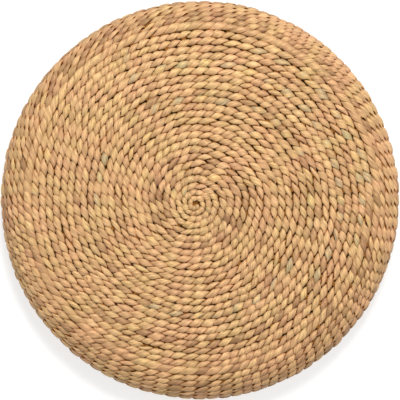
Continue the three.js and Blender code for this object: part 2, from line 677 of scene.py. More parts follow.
class Zone(Enum):
    """The stretches of the spiral, by what the maker does there."""

    TOP = "top"
    SHOULDER_WALE = "shoulder_wale"
    RIM = "rim"
    FOOT_WALE = "foot_wale"
    BASE = "base"


class Spiral:
    """The spiral of rows and the stakes that it crosses, from the middle of the top to that of the base.

    Each turn of the spiral crosses every stake once. A crossing has a number, counted from the start, and all
    the strands are laid out along that count.
    """

    STAKE_END = 0.2 * MM  # how near the middle a stake ends

    def __init__(self, meridian: Meridian, lay: Lay, seed: int = 11) -> None:
        """Lay out the turns and the stakes.

        Args:
            meridian: The line that the weave follows.
            lay: How the rows are laid.
            seed: The seed of the hand's unevenness.
        """
        self.meridian, self.lay = meridian, lay
        self.rng = np.random.default_rng(seed)
        self.zones: list[Zone] = []
        self.turn_starts = self._lay_turns()
        self._set_stakes()
        self.first_crossing = np.concatenate([[0], np.cumsum([len(a) for a in self.stake_angles])])
        self.crossing_angle = np.concatenate([TURN * k + a for k, a in enumerate(self.stake_angles)])

    def _lay_turns(self) -> np.ndarray:
        """Step the rows out along the meridian and name the zone of each turn.

        Returns:
            The station at the start of each turn, and of the end of the last.
        """
        m, lay = self.meridian, self.lay
        flat = m.shoulder - lay.wale_pitch / 2.0
        top = [lay.start]
        while top[-1] < flat - 0.5 * lay.row_pitch:
            ease = smooth_step(top[-1] / lay.core_reach)
            top.append(top[-1] + lay.core_pitch + (lay.row_pitch - lay.core_pitch) * ease)
        top = np.array(top)
        top = lay.start + (top - lay.start) * (flat - lay.start) / (top[-1] - lay.start)
        rim_span = m.rim_length - lay.wale_pitch
        rim_turns = round(rim_span / lay.rim_pitch)
        rim = flat + lay.wale_pitch + rim_span * np.arange(rim_turns + 1) / rim_turns
        base = (m.length - top)[::-1]
        self.zones = ([Zone.TOP] * (len(top) - 1) + [Zone.SHOULDER_WALE] + [Zone.RIM] * rim_turns
                      + [Zone.FOOT_WALE] + [Zone.BASE] * (len(base) - 1))
        return np.concatenate([top, rim, base])

    def _grow(self, turns: np.ndarray) -> tuple[list[np.ndarray], list[list[int]]]:
        """Lay stakes in as the circle grows, always into the widest gaps, and let them ease apart.

        Args:
            turns: The station of each turn from the middle outwards.

        Returns:
            The stakes' angles on each turn, and their numbers in the same order.
        """
        lay = self.lay
        counts = [max(lay.least_stakes, round(TURN * s / lay.stitch_length(s))) for s in turns]
        counts.append(lay.rim_stakes)
        angles = [TURN * i / counts[0] for i in range(counts[0])]
        names = list(range(counts[0]))
        rows, orders = [], []
        for count in counts:
            while len(angles) < count:
                gaps = np.diff(angles + [TURN])
                widest = int(np.argmax(gaps * self.rng.uniform(*lay.gap_choice, len(gaps))))
                angles.insert(widest + 1, angles[widest] + 0.5 * gaps[widest])
                names.insert(widest + 1, len(names))
            for _ in range(lay.ease_rounds):
                ring = np.array([angles[-1] - TURN, *angles, TURN])
                eased = (1.0 - lay.ease) * ring[1:-1] + 0.5 * lay.ease * (ring[:-2] + ring[2:])
                angles = [0.0, *eased[1:]]
            jitter = self.rng.normal(0.0, lay.jitter, len(angles)) * TURN / len(angles)
            jitter[0] = 0.0
            rows.append(np.array(angles) + jitter)
            orders.append(list(names))
        return rows, orders

    def _set_stakes(self) -> None:
        """Work out where every turn crosses every stake."""
        top_turns = self.zones.count(Zone.TOP)
        base_turns = self.zones.count(Zone.BASE)
        rim_turns = len(self.zones) - top_turns - base_turns
        m = self.meridian
        top, top_order = self._grow(self.turn_starts[:top_turns] + 0.5 * self.lay.row_pitch)
        base_stations = m.length - self.turn_starts[-base_turns - 1 : -1]
        base, base_order = self._grow(base_stations[::-1] - 0.5 * self.lay.row_pitch)
        start, end = top[-1], base[-1]
        rim = []
        for k in range(rim_turns):
            share = k / (rim_turns - 1)
            rim.append(start * (1 - share) + end * share)
        self.stake_angles = top[:-1] + rim + base[:-1][::-1]
        self.top_order, self.base_order = top_order, base_order
        self.top_turns, self.rim_turns = top_turns, rim_turns

    def stake_line(self, number: int) -> tuple[np.ndarray, np.ndarray]:
        """Follow one stake over the pad, from where it was laid in on the top to where it ends on the base.

        Args:
            number: The stake's place round the rim.

        Returns:
            The angle turned through and the station at each row that it passes.
        """
        turned = []
        top_name, base_name = self.top_order[-1][number], self.base_order[-1][number]
        for turn, angles in enumerate(self.stake_angles):
            if turn < self.top_turns:
                order, name = self.top_order[turn], top_name
            elif turn < self.top_turns + self.rim_turns:
                order, name = self.top_order[-1], top_name
            else:
                order, name = self.base_order[len(self.stake_angles) - 1 - turn], base_name
            if name in order:
                turned.append(TURN * turn + angles[order.index(name)])
        turned = np.array(turned)
        station = self.station(turned)
        if turned[0] < TURN:
            turned, station = np.append(turned[0], turned), np.append(self.STAKE_END, station)
        if turned[-1] > TURN * (len(self.stake_angles) - 1):
            turned = np.append(turned, turned[-1])
            station = np.append(station, self.meridian.length - self.STAKE_END)
        return turned, station

    def angle(self, crossing: np.ndarray) -> np.ndarray:
        """The angle turned through at each place, counted in crossings, from the start of the spiral."""
        return np.interp(crossing, np.arange(len(self.crossing_angle)), self.crossing_angle)

    def station(self, turned: np.ndarray) -> np.ndarray:
        """The row's station at an angle turned through, with the hand's wandering.

        Args:
            turned: The angle turned through since the start.

        Returns:
            The station of the middle of the row.
        """
        m, lay = self.meridian, self.lay
        plain = np.interp(turned / TURN, np.arange(len(self.turn_starts)), self.turn_starts)
        inward = np.minimum(plain, m.length - plain)
        fading = smooth_step((inward - lay.calm_rim[0]) / (lay.calm_rim[1] - lay.calm_rim[0]))
        calm = smooth_step(inward / lay.calm_middle) * (1.0 - lay.rim_calm * fading)
        reach = plain / lay.wave_step
        sway = sum(w.size * np.sin(w.turns * turned + w.phase + w.drift * reach) for w in lay.waves)
        return plain + lay.wander * calm * sway

    def centre(self, station: np.ndarray) -> np.ndarray:
        """Find where the middle of the weave lies, as its first and last turns are a little off the pad's.

        Args:
            station: The stations of the rows.

        Returns:
            How far to the side the middle of each row lies, in x and y.
        """
        m, lay = self.meridian, self.lay
        top = np.clip(1.0 - station / m.shoulder, 0.0, 1.0)[..., None]
        base = np.clip(1.0 - (m.length - station) / m.shoulder, 0.0, 1.0)[..., None]
        return top * np.array(lay.top_offset) + base * np.array(lay.base_offset)

    def place(
        self, turned: np.ndarray, station: np.ndarray, height: np.ndarray
    ) -> tuple[np.ndarray, np.ndarray, np.ndarray]:
        """Turn row coordinates into points.

        Args:
            turned: The angle turned through.
            station: The station along the meridian.
            height: The distance out from the cover's outside, negative inwards.

        Returns:
            The points, the outward normals and the directions of growing station.
        """
        point, normal, along = self.meridian.at(station)
        r = point[..., 0] + normal[..., 0] * height
        z = point[..., 1] + normal[..., 1] * height
        c, s = np.cos(-turned), np.sin(-turned)
        off = self.centre(station)
        points = np.stack([r * c + off[..., 0], r * s + off[..., 1], z], axis=-1)
        normals = np.stack([normal[..., 0] * c, normal[..., 0] * s, normal[..., 1]], axis=-1)
        alongs = np.stack([along[..., 0] * c, along[..., 0] * s, along[..., 1]], axis=-1)
        return points, normals, alongs

    def turn_near(self, station: float) -> int:
        """The turn that starts nearest to a station."""
        return int(np.argmin(np.abs(self.turn_starts - station)))


# ---- Strands ----


@dataclass(frozen=True)
class Twist:
    """How a group of strands twists as it passes the stakes.

    Attributes:
        strands: How many strands the group has; each passes over one stake less than that, then under one.
        sway: How far a strand swings to each side of the row.
        rock: How far its section tips towards that side, in radians.
        lift: How far a strand rises over a stake, from the middle of the weave.
        width: A strand's half width where it crosses over a stake.
        waist: The half width where it is hidden, under a stake.
        taper: How soon it narrows on the way: 1 evenly, more for a pointed stitch.
        thickness: Its half thickness.
        weave: The thickness of the whole weave.
        tone: How much lighter its leaf is than the rest, or darker where it is negative; on the rim that is
            painted shade.
        shade: How much darker its sides are painted than its crown, as a share: painted shade.
    """

    strands: int = 2
    sway: float = 1.75 * MM
    rock: float = 0.7
    lift: float = 1.5 * MM
    width: float = 3.5 * MM
    waist: float = 0.8 * MM
    taper: float = 1.15
    thickness: float = 1.9 * MM
    weave: float = 6.9 * MM
    tone: float = 0.0
    shade: float = 0.38


class LeafSection:
    """The section of a length of leaf: more points on the side that shows than on the side pressed in."""

    SHOWN = 9
    PRESSED = 3
    COUNT = SHOWN + PRESSED
    PRESSED_SHARE = 0.55  # how thick the pressed side is, against the side that shows
    GIRTH_SHARE = 0.75  # how long the way round the section is, against a circle of its width

    @classmethod
    def angles(cls) -> np.ndarray:
        """Set out the points of the section.

        Returns:
            The angle of each point; a quarter turn is straight outwards.
        """
        shown = np.linspace(0.0, math.pi, cls.SHOWN)
        pressed = math.pi + math.pi * np.arange(1, cls.PRESSED + 1) / (cls.PRESSED + 1)
        return np.concatenate([shown, pressed])


@dataclass
class LeafRun:
    """One run of leaf: its line, its section all along and what its surface is like.

    Attributes:
        centres: The points of the line.
        outward: The way that its shown face looks, at each point.
        across: The way across its width.
        half_width: Half its width.
        half_thick: Half its thickness.
        pinch: How far each point of each section is pressed in, as a share.
        values: Values for the finish, by name: one for each point of the line or each point of the sections.
    """

    centres: np.ndarray
    outward: np.ndarray
    across: np.ndarray
    half_width: np.ndarray
    half_thick: np.ndarray
    pinch: np.ndarray | float = 0.0
    values: dict[str, np.ndarray] = field(default_factory=dict)

    @classmethod
    def facing(
        cls, centres: np.ndarray, face: np.ndarray, half_width: np.ndarray, half_thick: np.ndarray,
        values: dict[str, np.ndarray] | None = None
    ) -> "LeafRun":
        """Lay a run along a line, with its sections square to the line.

        Args:
            centres: The points of the line.
            face: The way that the shown face is to look, at each point.
            half_width: Half the run's width.
            half_thick: Half its thickness.
            values: Values for the finish, by name.

        Returns:
            The run.
        """
        tangents = unit(np.gradient(centres, axis=0))
        outward = unit(face - tangents * np.sum(face * tangents, axis=1, keepdims=True))
        return cls(centres=centres, outward=outward, across=np.cross(tangents, outward),
                   half_width=half_width, half_thick=half_thick, values=values or {})

    def along(self) -> np.ndarray:
        """The distance along the line at each of its points."""
        steps = np.linalg.norm(np.diff(self.centres, axis=0), axis=1)
        return np.concatenate([[0.0], np.cumsum(steps)])

    def surface(self) -> np.ndarray:
        """Lay the section at every point of the line, pressed flatter below than above.

        Returns:
            The points of every section, ring by ring.
        """
        angles = LeafSection.angles()
        out = np.where(np.sin(angles) > 0.0, 1.0, LeafSection.PRESSED_SHARE) * np.sin(angles)
        keep = 1.0 - self.pinch
        aside = self.half_width[:, None] * np.cos(angles)[None, :] * keep
        up = self.half_thick[:, None] * out[None, :] * keep
        return (self.centres[:, None, :] + self.across[:, None, :] * aside[..., None]
                + self.outward[:, None, :] * up[..., None])


def leaf_mesh(name: str, runs: list[LeafRun]) -> bpy.types.Mesh:
    """Sweep the leaf's section along its lines as a bevelled curve, then press every section into shape.

    Args:
        name: The mesh's name.
        runs: The runs of leaf that the mesh holds.

    Returns:
        Closed tubes with a map of the distances along and round each run, and the finish's values.
    """
    outline = bpy.data.curves.new(name + "_section", "CURVE")
    outline.dimensions = "2D"
    ring = outline.splines.new("POLY")
    angles = LeafSection.angles()
    ring.points.add(len(angles) - 1)
    for point, angle in zip(ring.points, angles):
        point.co = (math.cos(angle), math.sin(angle), 0.0, 1.0)
    ring.use_cyclic_u = True
    outline_object = link_object(name + "_section", outline)

    lines = bpy.data.curves.new(name + "_line", "CURVE")
    lines.dimensions = "3D"
    lines.twist_mode = "Z_UP"
    lines.bevel_mode = "OBJECT"
    lines.bevel_object = outline_object
    for run in runs:
        spline = lines.splines.new("POLY")
        spline.points.add(len(run.centres) - 1)
        spline.points.foreach_set("co", np.column_stack([run.centres, np.ones(len(run.centres))]).ravel())
        spline.points.foreach_set("radius", run.half_width)
    line_object = link_object(name + "_line", lines)
    mesh = evaluated_mesh(line_object)
    mesh.name = name
    for obj in (line_object, outline_object):
        data = obj.data
        bpy.data.objects.remove(obj)
        bpy.data.curves.remove(data)

    surface = np.concatenate([run.surface().reshape(-1, 3) for run in runs])
    # The pad's weight presses the lowest leaf flat against what it rests on.
    surface[:, 2] = np.maximum(surface[:, 2], CAD_BOX[0][2])
    if len(mesh.vertices) != len(surface):
        raise RuntimeError(f"{name}: the sweep has {len(mesh.vertices)} points, not {len(surface)}")
    mesh.vertices.foreach_set("co", surface.ravel())
    for value in runs[0].values:
        layer = mesh.attributes.new(value, "FLOAT", "POINT")
        parts = [np.broadcast_to(run.values[value].reshape(len(run.centres), -1),
                                 (len(run.centres), LeafSection.COUNT)).ravel() for run in runs]
        layer.data.foreach_set("value", np.concatenate(parts).astype(np.float32))
    girth = LeafSection.GIRTH_SHARE * TURN * float(np.mean(runs[0].half_width))
    map_tubes(mesh, np.concatenate([run.along() for run in runs]), girth)
    close_ends(mesh)
    shade_smooth(mesh)
    return mesh


def map_tubes(mesh: bpy.types.Mesh, along: np.ndarray, girth: float) -> None:
    """Give swept tubes their own map: distance along the line, and distance round it, in metres.

    Args:
        mesh: The tubes.
        along: The distance along the line at each ring.
        girth: The distance once round the section.
    """
    loops = np.empty(len(mesh.loops), dtype=np.int32)
    mesh.loops.foreach_get("vertex_index", loops)
    ring, step = np.divmod(loops.reshape(-1, 4), LeafSection.COUNT)
    wraps = np.any(step == LeafSection.COUNT - 1, axis=1, keepdims=True)
    step = np.where(wraps & (step == 0), LeafSection.COUNT, step)
    layer = mesh.uv_layers.new(name=STRAND_MAP)
    places = np.stack([along[ring], girth * step / LeafSection.COUNT], axis=-1)
    layer.data.foreach_set("uv", places.ravel())


def close_ends(mesh: bpy.types.Mesh) -> None:
    """Close the tubes' ends and turn their faces outwards.

    Args:
        mesh: The tubes.
    """
    work = bmesh.new()
    work.from_mesh(mesh)
    bmesh.ops.holes_fill(work, edges=[e for e in work.edges if e.is_boundary], sides=0)
    bmesh.ops.recalc_face_normals(work, faces=work.faces)
    work.to_mesh(mesh)
    work.free()


@dataclass(frozen=True)
class Hand:
    """How uneven the maker's hand is. All but girth_step are the spread from one place to the next.

    Attributes:
        girth: Of a strand's width and thickness along its length, as a share.
        girth_step: How often that changes, in crossings.
        sway: Of the swing to each side, as a share.
        shift: Of a stitch's place across the row.
        lift: Of its height.
        width: Of its width, as a share.
        shade: Of its shade from its leaf's.
        fold: Of the place of its fold, in radians.
    """

    girth: float = 0.06
    girth_step: float = 9.0
    sway: float = 0.18
    shift: float = 0.38 * MM
    lift: float = 0.3 * MM
    width: float = 0.13
    shade: float = 0.07
    fold: float = 0.25


@dataclass(frozen=True)
class FirstTurns:
    """How the stitches of the first tight turns differ, as shares of the size that they grow to.

    Attributes:
        begin: The station from which stitches start to grow.
        reach: How far on they have their full size.
        sway: The swing to each side.
        lift: The rise over a stake.
        thickness: The thickness.
        waist: The width where a strand is hidden.
        width: The width where it crosses over a stake.
        taper: How much more pointed the stitches are, added to the twist's own taper.
    """

    begin: float = 3 * MM
    reach: float = 24 * MM
    sway: float = 0.75
    lift: float = 1.15
    thickness: float = 0.86
    waist: float = 0.5
    width: float = 0.78
    taper: float = 0.6


@dataclass(frozen=True)
class LeafLot:
    """The lengths of leaf that are spliced into a strand. Shades run from 0, old and brown, to 1, greenish.

    Attributes:
        length: The shortest and the longest.
        shade: The two shape numbers of the spread of their shades.
        shade_limits: The least and the most that a shade comes to.
        brown_share: How many of them are brown, as a share.
        brown: The shades of those.
        green_share: How many dried green.
        green: The shades of those.
        fold_place: Where a leaf's fold may lie, as a share of the way across.
        fold_width: Half the fold's width, in radians.
        fold_depth: How deep it may be, as a share of the leaf's thickness.
        tail_share: How many ends poke out.
    """

    length: tuple[float, float] = (90 * MM, 420 * MM)
    shade: tuple[float, float] = (5.0, 4.6)
    shade_limits: tuple[float, float] = (0.04, 0.97)
    brown_share: float = 0.03
    brown: tuple[float, float] = (0.02, 0.16)
    green_share: float = 0.05
    green: tuple[float, float] = (0.86, 1.0)
    fold_place: tuple[float, float] = (0.25, 0.75)
    fold_width: float = 0.3
    fold_depth: float = 0.22
    tail_share: float = 0.4


@dataclass(frozen=True)
class Tail:
    """The frayed end of a leaf, a thin strip that pokes out between two stitches and lies over the next.

    Attributes:
        rings: How many sections it has.
        length: The shortest and the longest.
        swerve: How far it turns off the row, as a spread in radians.
        tightest: The least radius that it bends round at.
        aside: How far from the middle of the row it comes out.
        stages: Shares of its length where its height is known.
        heights: Its height over the cover's outside there.
        dark_share: How many are old and dark.
        dark: How dark those are, from 0.
        root: How light it is painted where it comes out between the stitches, from 0 for dark: painted shade.
        brighten: How fast it grows light along its length, as the painted shade fades.
        shade: The shades that it may have.
        half_width: Half its width where it comes out and at its tip.
        half_thick: Half its thickness.
    """

    rings: int = 7
    length: tuple[float, float] = (5 * MM, 9 * MM)
    swerve: float = 0.45
    tightest: float = 8 * MM
    aside: float = 2.2 * MM
    stages: tuple[float, ...] = (0.0, 0.4, 1.0)
    heights: tuple[float, ...] = (-3.2 * MM, -0.5 * MM, 0.1 * MM)
    dark_share: float = 0.3
    dark: float = 0.3
    root: float = 0.15
    brighten: float = 2.0
    shade: tuple[float, float] = (0.6, 0.8)
    half_width: tuple[float, float] = (0.65 * MM, 0.2 * MM)
    half_thick: float = 0.14 * MM


class Strand:
    """One strand of a twisting group, over one stretch of the spiral."""

    HAND, FIRST, LOT, TAIL = Hand(), FirstTurns(), LeafLot(), Tail()
    END = 0.5 * MM  # how near the pad's middle a strand may come
    SHOWN_STEP = 0.125  # from one ring to the next where the strand shows, in crossings
    HIDDEN_STEP = 0.25  # the same where it is hidden
    HIDDEN_THICKNESS = 0.66  # its thickness where it is hidden, against its thickness where it shows

    def __init__(
        self, spiral: Spiral, twist: Twist, number: int, crossings: tuple[int, int], seed: int
    ) -> None:
        """Work out the strand's line and its sections.

        Args:
            spiral: The spiral that the strand follows.
            twist: How its group twists.
            number: Which of the group's strands this is, from 0.
            crossings: The first and last crossing of the stretch.
            seed: The seed of its unevenness.
        """
        self.spiral, self.twist, self.number = spiral, twist, number
        self.rng = np.random.default_rng(seed)
        self.places = self._places(*crossings)
        self._lay()

    def _places(self, first: int, last: int) -> np.ndarray:
        """Where the strand's rings lie, close together where it shows and wider where it is hidden.

        Args:
            first: The first crossing of the stretch.
            last: The last one.

        Returns:
            The rings' places, counted in crossings. Both ends are where the strand is deepest.
        """
        period = float(self.twist.strands)
        shown = period - 1.0
        steps = int(shown / self.SHOWN_STEP)
        hidden = shown / 2 + np.arange(0.0, 1.0, self.HIDDEN_STEP)
        offsets = np.concatenate([shown * (np.arange(steps) / steps - 0.5), hidden])
        begin = math.ceil((first - self.number - period / 2) / period)
        end = math.ceil((last - self.number - period / 2) / period)
        crests = self.number + period * np.arange(begin, end + 2)
        places = (crests[:, None] + offsets[None, :]).ravel()
        low, high = self.number + period * (begin + 0.5), self.number + period * (end + 0.5)
        near = 1e-6
        keep = (places > low - near) & (places < high + near)
        return np.clip(places[keep], 0.0, len(self.spiral.crossing_angle) - 1.0)

    def _lay(self) -> None:
        """Lay the strand along its places: over a stake, across and under the next, as even as a hand can."""
        twist, spiral, rng, hand, first = self.twist, self.spiral, self.rng, self.HAND, self.FIRST
        period = float(twist.strands)
        phase = TURN * (self.places - self.number) / period
        stitch = np.round((self.places - self.number) / period).astype(int)
        self.stitch = stitch - stitch.min()
        self.crest = 0.5 + 0.5 * np.cos(phase)
        count = self.stitch.max() + 1

        def uneven(spread: float) -> np.ndarray:
            """Vary a measure from stitch to stitch, and not at all where the strand is hidden."""
            return rng.normal(0.0, spread, count)[self.stitch] * self.crest

        turned = spiral.angle(self.places)
        row = spiral.station(turned)
        inward = np.minimum(row, spiral.meridian.length - row)
        grown = smooth_step((inward - first.begin) / first.reach)

        def growing(share: float) -> np.ndarray:
            """Grow a measure from a share of its size in the first turns to the whole of it."""
            return share + (1.0 - share) * grown

        before, after = 10.0, 20.0  # how far the knots reach past the strand's ends, in crossings
        knots = np.arange(self.places[0] - before, self.places[-1] + after, hand.girth_step)
        girth = np.interp(self.places, knots, rng.normal(1.0, hand.girth, len(knots)))
        sway = twist.sway * growing(first.sway) * (1.0 + uneven(hand.sway))
        lift = twist.lift * growing(first.lift)
        station = row + sway * np.sin(phase) + uneven(hand.shift)
        station = np.clip(station, self.END, spiral.meridian.length - self.END)
        swell = self.HIDDEN_THICKNESS + (1.0 - self.HIDDEN_THICKNESS) * self.crest
        thickness = twist.thickness * growing(first.thickness) * swell * girth
        height = lift * np.cos(phase) - twist.weave / 2.0 + uneven(hand.lift)
        centres, normals, alongs = spiral.place(turned, station, height)
        tip = twist.rock * np.sin(phase)[:, None]
        waist = twist.waist * growing(first.waist)
        width = twist.width * growing(first.width) * girth * (1.0 + uneven(hand.width))
        taper = twist.taper + first.taper * (1.0 - grown)
        self.run = LeafRun.facing(
            centres, normals * np.cos(tip) + alongs * np.sin(tip),
            half_width=waist + (width - waist) * self.crest**taper, half_thick=thickness)
        self._splice()

    def _splice(self) -> None:
        """Splice lengths of leaf along the strand: each has its own shade and its own fold."""
        rng, run, hand, lot = self.rng, self.run, self.HAND, self.LOT
        along = run.along()
        cuts = np.cumsum(rng.uniform(*lot.length, 4 + int(along[-1] / lot.length[0])))
        # A new leaf starts where the strand is hidden, so all of one stitch is one leaf.
        leaf = np.searchsorted(cuts, along)[np.searchsorted(self.stitch, self.stitch)]
        leaves, count = leaf.max() + 1, self.stitch.max() + 1
        shades = rng.beta(*lot.shade, leaves)
        odd = rng.random(leaves)
        shades = np.where(odd < lot.brown_share, rng.uniform(*lot.brown, leaves), shades)
        shades = np.where(odd > 1.0 - lot.green_share, rng.uniform(*lot.green, leaves), shades)
        shade = shades[leaf] + rng.normal(0.0, hand.shade, count)[self.stitch] + self.twist.tone
        shade = np.clip(shade, *lot.shade_limits)
        angles = LeafSection.angles()[None, :]
        fold_at = rng.uniform(*lot.fold_place, leaves)[leaf] * math.pi
        fold_at = fold_at + rng.normal(0.0, hand.fold, count)[self.stitch]
        fold_depth = rng.uniform(0.0, lot.fold_depth, count)[self.stitch] * self.crest
        run.pinch = fold_depth[:, None] * np.exp(-(((angles - fold_at[:, None]) / lot.fold_width) ** 2))
        # Painted shade: the depth value falls towards a strand's sides and where it dips under a stake, and
        # the finish darkens the leaf there.
        shown = self.crest[:, None] * (1.0 - self.twist.shade * (1.0 - np.sin(angles)))
        run.values = {"leaf": shade, "stitch": rng.random(count)[self.stitch], "depth": shown}
        ends = np.flatnonzero(np.diff(leaf))
        self.tails = [self._tail(int(at)) for at in ends if rng.random() < lot.tail_share]

    def _tail(self, at: int) -> LeafRun:
        """Leave the end of a length of leaf poking out from between two stitches.

        Args:
            at: The ring of the strand where the leaf ends.

        Returns:
            The frayed end.
        """
        rng, spiral, tail = self.rng, self.spiral, self.TAIL
        reach = np.linspace(0.0, 1.0, tail.rings)
        length, swerve = rng.uniform(*tail.length), rng.normal(0.0, tail.swerve)
        turned = float(spiral.angle(self.places[at]))
        row = float(spiral.station(np.array(turned)))
        radius = max(float(spiral.meridian.at(row)[0][..., 0]), tail.tightest)
        side = rng.choice((-1.0, 1.0)) * tail.aside
        station = row + side + length * reach * math.sin(swerve)
        station = np.clip(station, self.END, spiral.meridian.length - self.END)
        height = np.interp(reach, tail.stages, tail.heights)
        light = tail.dark if rng.random() < tail.dark_share else 1.0
        turns = turned + length * reach * math.cos(swerve) / radius
        centres, normals, _ = spiral.place(turns, station, height)
        full = np.ones(tail.rings)
        # Painted shade: the tail is darker where it comes out from between the stitches; an old tail is dark
        # all along.
        depth = light * np.minimum(1.0, tail.root + tail.brighten * reach)
        values = {"leaf": full * rng.uniform(*tail.shade), "stitch": full * 0.5, "depth": depth}
        return LeafRun.facing(centres, normals, np.interp(reach, (0.0, 1.0), tail.half_width),
                              full * tail.half_thick, values)


# ---- The cover ----


@dataclass
class Cover:
    """The twined cover: bands of weft and the two wales, each a group of strands on the one spiral.

    Attributes:
        spiral: The spiral of rows.
        weft: How the pair of weft strands twists.
        wale: How the three strands of a wale twist.
        rim: How the weft strands twist down the rim, where the rows are pulled tight, and its painted shade.
        seed: The seed of the strands' unevenness.
    """

    spiral: Spiral
    weft: Twist = field(default_factory=Twist)
    wale: Twist = field(default_factory=lambda: Twist(
        strands=3, sway=2.5 * MM, lift=2.1 * MM, width=3.6 * MM, waist=0.6 * MM, taper=1.6,
        thickness=2.1 * MM, weave=7.3 * MM, tone=-0.16))
    # Down the rim the leaf is painted darker, and its sides more deeply shaded: painted shade for the rim's
    # grazing light.
    rim: Twist = field(default_factory=lambda: Twist(
        sway=1.65 * MM, lift=1.3 * MM, width=3.05 * MM, waist=1.1 * MM, taper=1.15, thickness=1.8 * MM,
        weave=6.4 * MM, tone=-0.17, shade=0.62))
    seed: int = 40

    def bands(self) -> list[tuple[str, int, int, Twist]]:
        """The bands of the cover, by the fixed model's nodes.

        Returns:
            Each band's node, its first turn, the turn after its last, and how its strands twist.
        """
        spiral = self.spiral
        m = spiral.meridian
        top = ["top_centre_knot", "top_weft_start", "top_weft_inner", "top_weft_middle", "top_weft_outer"]
        base = [n.replace("top_", "base_").replace("centre_knot", "closing_knot") for n in top]
        edges = [spiral.turn_near(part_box(n)[1][0]) for n in top[:-1]]
        shoulder = spiral.zones.index(Zone.SHOULDER_WALE)
        foot = spiral.zones.index(Zone.FOOT_WALE)
        last = len(spiral.zones)
        starts = [0, *edges, shoulder]
        rows = [(n, a, b, self.weft) for n, a, b in zip(top, starts[:-1], starts[1:])]
        rows.append(("shoulder_wale", shoulder, shoulder + 1, self.wale))
        rows.append(("side_weft", shoulder + 1, foot, self.rim))
        rows.append(("foot_wale", foot, foot + 1, self.wale))
        back = [spiral.turn_near(m.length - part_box(n)[1][0]) for n in base[:-1]]
        ends = [foot + 1, *back[::-1], last]
        rows += [(n, a, b, self.weft) for n, a, b in zip(base[::-1], ends[:-1], ends[1:])]
        return rows

    def build(self, finish: bpy.types.Material) -> None:
        """Weave every band in place of its node of the fixed model, which is hidden.

        Args:
            finish: The leaf's material.
        """
        spiral = self.spiral
        for index, (node, first, end, twist) in enumerate(self.bands()):
            a, b = int(spiral.first_crossing[first]), int(spiral.first_crossing[end])
            if twist is self.wale:
                # The third strand is tucked in before the heavy turn starts and out after it ends.
                a, b = a - 2, b + 1
            if end == len(spiral.zones):
                # The last stitches end short of the middle, where there is no room for them.
                b -= 2 * twist.strands
            for number in range(twist.strands):
                name = f"{node}_strand_{'abc'[number]}"
                strand = Strand(spiral, twist, number, (a, b), seed=self.seed + 10 * index + number)
                add_piece(leaf_mesh(name, [strand.run, *strand.tails]), finish, node)


@dataclass
class Stakes:
    """The stakes that the strands close round: flat leaves that run out from the middle and over the rim.

    Attributes:
        spiral: The spiral that crosses them.
        bundles: How many bundles the fixed model has.
        half_width: Half the width of a leaf, away from the middle.
        half_thick: Half its thickness.
        depth: How deep it lies, from the cover's outside.
    """

    spiral: Spiral
    bundles: int
    half_width: float = 2.2 * MM
    half_thick: float = 0.45 * MM
    depth: float = 3.45 * MM

    def run(self, number: int) -> LeafRun:
        """Lay one stake along the rows that cross it.

        Args:
            number: The stake's place round the rim.

        Returns:
            The stake as a run of leaf.
        """
        spiral = self.spiral
        turned, station = spiral.stake_line(number)
        # The rows say where the stake is once a turn; between them it runs straight.
        aside = np.unwrap(turned % TURN)
        fine = np.linspace(0.0, len(turned) - 1.0, 2 * len(turned) - 1)
        rows = np.arange(len(turned))
        aside, station = np.interp(fine, rows, aside), np.interp(fine, rows, station)
        centres, normals, _ = spiral.place(aside, station, np.full(len(fine), -self.depth))
        inward = np.minimum(station, spiral.meridian.length - station)
        lay = spiral.lay
        room = np.array([lay.stitch_length(s) for s in inward]) / lay.stitch_lengths[-1]
        return LeafRun.facing(centres, normals, self.half_width * room, np.full(len(fine), self.half_thick))

    def build(self, finish: bpy.types.Material) -> None:
        """Make each bundle of the fixed model as its own leaves.

        Args:
            finish: The flat leaf's material.
        """
        rim = self.spiral.stake_angles[self.spiral.top_turns + self.spiral.rim_turns // 2]
        bundle = np.round(-rim / TURN * self.bundles).astype(int) % self.bundles
        for index in range(self.bundles):
            node = f"stake_bundle_{index + 1:02d}"
            runs = [self.run(int(number)) for number in np.flatnonzero(bundle == index)]
            add_piece(leaf_mesh(node + "_leaves", runs), finish, node)
        log.info("stakes: %d leaves in %d bundles", len(rim), self.bundles)


# ---- Filling ----


